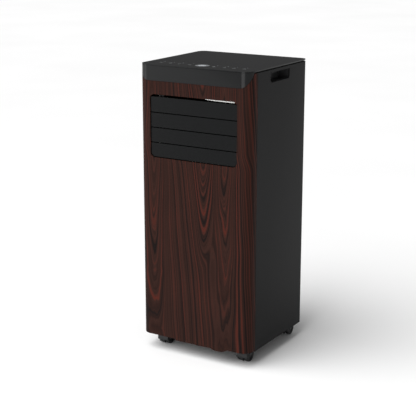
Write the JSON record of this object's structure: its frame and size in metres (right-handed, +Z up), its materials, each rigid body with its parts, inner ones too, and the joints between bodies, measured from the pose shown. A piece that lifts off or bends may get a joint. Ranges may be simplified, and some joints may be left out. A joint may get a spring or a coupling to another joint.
{
  "type": "portable air conditioner",
  "caption": "Slim free-standing air conditioner: walnut-film front, black casing, tilting louvre, touch deck, side grips, rear filters and port, on twin-wheel casters.",
  "frame": {"origin": "on the floor, under the middle of the casing", "axes": "+X to the viewer's right when facing the louvre, +Y from the louvre side to the back, +Z up"},
  "size_m": [0.298, 0.281, 0.7],
  "materials": {
    "walnut_film": "satin dark walnut print film on a moulded panel",
    "gloss_black": "smooth semi-gloss moulded black",
    "deck_black": "fine satin moulded black",
    "display": "smoked lens with a pale round display behind it",
    "casing_black": "fine spark-eroded moulded black",
    "louvre_black": "satin moulded black",
    "wheel_black": "moulded nylon",
    "rubber_black": "moulded rubber",
    "filter_net": "woven polypropylene net",
    "white_foam": "moulded expanded polystyrene beads",
    "white_plastic": "plain moulded white",
    "fan_black": "moulded glass-filled plastic",
    "motor_steel": "zinc-plated pressed sheet steel",
    "fin_aluminium": "thin pressed fins",
    "compressor_enamel": "baked black enamel on steel",
    "copper_pipe": "drawn copper tube, slightly dulled",
    "circuit_board": "solder-resist on glass-fibre board"
  },
  "bodies": {
    "casing": {"front_panel": "walnut_film", "front_band": "gloss_black", "top_deck": "deck_black", "control_overlay": "deck_black", "display_lens": "display", "control_board": "circuit_board", "right_side_panel": "casing_black", "left_side_panel": "casing_black", "right_handle_pocket": "casing_black", "left_handle_pocket": "casing_black", "rear_panel": "casing_black", "base_pan": "casing_black", "louvre_frame": "louvre_black", "louvre_motor": "white_plastic", "exhaust_collar": "casing_black", "cord_gland": "rubber_black", "lower_cord_hook": "casing_black", "upper_cord_hook": "casing_black", "discharge_duct": "white_foam", "upper_fan_scroll": "white_plastic", "upper_fan_motor": "motor_steel", "evaporator_coil": "fin_aluminium", "drain_pan": "white_plastic", "partition_plate": "white_plastic", "lower_fan_scroll": "white_plastic", "lower_fan_motor": "motor_steel", "exhaust_elbow": "white_plastic", "condenser_coil": "fin_aluminium", "compressor": "compressor_enamel", "accumulator": "compressor_enamel", "discharge_pipe": "copper_pipe", "suction_pipe": "copper_pipe", "liquid_line": "copper_pipe", "electrical_box": "motor_steel", "power_board": "circuit_board", "capacitor": "fin_aluminium"},
    "louvre_blade_1": {"louvre_blade_1": "louvre_black"},
    "louvre_blade_2": {"louvre_blade_2": "louvre_black"},
    "louvre_blade_3": {"louvre_blade_3": "louvre_black"},
    "louvre_blade_4": {"louvre_blade_4": "louvre_black"},
    "louvre_link": {"louvre_link": "louvre_black"},
    "caster_front_left_swivel": {"caster_front_left_housing": "wheel_black"},
    "caster_front_left_wheelset": {"caster_front_left_wheels": "wheel_black"},
    "caster_front_right_swivel": {"caster_front_right_housing": "wheel_black"},
    "caster_front_right_wheelset": {"caster_front_right_wheels": "wheel_black"},
    "caster_rear_left_swivel": {"caster_rear_left_housing": "wheel_black"},
    "caster_rear_left_wheelset": {"caster_rear_left_wheels": "wheel_black"},
    "caster_rear_right_swivel": {"caster_rear_right_housing": "wheel_black"},
    "caster_rear_right_wheelset": {"caster_rear_right_wheels": "wheel_black"},
    "upper_fan": {"upper_fan_wheel": "fan_black"},
    "lower_fan": {"lower_fan_wheel": "fan_black"},
    "upper_filter": {"upper_filter_frame": "casing_black", "upper_filter_mesh": "filter_net"},
    "lower_filter": {"lower_filter_frame": "casing_black", "lower_filter_mesh": "filter_net"},
    "upper_drain_plug": {"upper_drain_plug": "rubber_black"},
    "lower_drain_plug": {"lower_drain_plug": "rubber_black"}
  },
  "joints": [
    {"name": "louvre_tilt_1", "type": "hinge", "parent": "casing", "child": "louvre_blade_1", "pos_m": [0, -0.132, 0.6065], "axis": [1, 0, 0], "range_deg": [0, 65]},
    {"name": "louvre_tilt_2", "type": "hinge", "parent": "casing", "child": "louvre_blade_2", "pos_m": [0, -0.132, 0.5711], "axis": [1, 0, 0], "range_deg": [0, 65]},
    {"name": "louvre_tilt_3", "type": "hinge", "parent": "casing", "child": "louvre_blade_3", "pos_m": [0, -0.132, 0.5357], "axis": [1, 0, 0], "range_deg": [0, 65]},
    {"name": "louvre_tilt_4", "type": "hinge", "parent": "casing", "child": "louvre_blade_4", "pos_m": [0, -0.132, 0.5003], "axis": [1, 0, 0], "range_deg": [0, 65]},
    {"name": "louvre_link_pivot", "type": "hinge", "parent": "louvre_blade_1", "child": "louvre_link", "pos_m": [-0.10375, -0.1142, 0.5954], "axis": [1, 0, 0], "range_deg": [-65, 0]},
    {"name": "caster_front_left_turn", "type": "hinge", "parent": "casing", "child": "caster_front_left_swivel", "pos_m": [-0.112, -0.094, 0.045], "axis": [0, 0, 1], "continuous": true},
    {"name": "caster_front_left_roll", "type": "hinge", "parent": "caster_front_left_swivel", "child": "caster_front_left_wheelset", "pos_m": [-0.112, -0.085, 0.0165], "axis": [1, 0, 0], "continuous": true},
    {"name": "caster_front_right_turn", "type": "hinge", "parent": "casing", "child": "caster_front_right_swivel", "pos_m": [0.112, -0.094, 0.045], "axis": [0, 0, 1], "continuous": true},
    {"name": "caster_front_right_roll", "type": "hinge", "parent": "caster_front_right_swivel", "child": "caster_front_right_wheelset", "pos_m": [0.112, -0.085, 0.0165], "axis": [1, 0, 0], "continuous": true},
    {"name": "caster_rear_left_turn", "type": "hinge", "parent": "casing", "child": "caster_rear_left_swivel", "pos_m": [-0.112, 0.114, 0.045], "axis": [0, 0, 1], "continuous": true},
    {"name": "caster_rear_left_roll", "type": "hinge", "parent": "caster_rear_left_swivel", "child": "caster_rear_left_wheelset", "pos_m": [-0.112, 0.123, 0.0165], "axis": [1, 0, 0], "continuous": true},
    {"name": "caster_rear_right_turn", "type": "hinge", "parent": "casing", "child": "caster_rear_right_swivel", "pos_m": [0.112, 0.114, 0.045], "axis": [0, 0, 1], "continuous": true},
    {"name": "caster_rear_right_roll", "type": "hinge", "parent": "caster_rear_right_swivel", "child": "caster_rear_right_wheelset", "pos_m": [0.112, 0.123, 0.0165], "axis": [1, 0, 0], "continuous": true},
    {"name": "upper_fan_spin", "type": "hinge", "parent": "casing", "child": "upper_fan", "pos_m": [0, -0.017, 0.406], "axis": [0, 1, 0], "continuous": true},
    {"name": "lower_fan_spin", "type": "hinge", "parent": "casing", "child": "lower_fan", "pos_m": [-0.038, 0.052, 0.17], "axis": [0, 1, 0], "continuous": true},
    {"name": "upper_filter_pull", "type": "slide", "parent": "casing", "child": "upper_filter", "axis": [0, 1, 0], "range_m": [0, 0.05]},
    {"name": "lower_filter_pull", "type": "slide", "parent": "casing", "child": "lower_filter", "axis": [0, 1, 0], "range_m": [0, 0.05]},
    {"name": "upper_drain_pull", "type": "slide", "parent": "casing", "child": "upper_drain_plug", "axis": [0, 1, 0], "range_m": [0, 0.025]},
    {"name": "lower_drain_pull", "type": "slide", "parent": "casing", "child": "lower_drain_plug", "axis": [0, 1, 0], "range_m": [0, 0.025]}
  ],
  "couplings": [
    {"joint": "louvre_tilt_2", "follows": "louvre_tilt_1", "ratio": 1},
    {"joint": "louvre_tilt_3", "follows": "louvre_tilt_1", "ratio": 1},
    {"joint": "louvre_tilt_4", "follows": "louvre_tilt_1", "ratio": 1},
    {"joint": "louvre_link_pivot", "follows": "louvre_tilt_1", "ratio": -1}
  ]
}
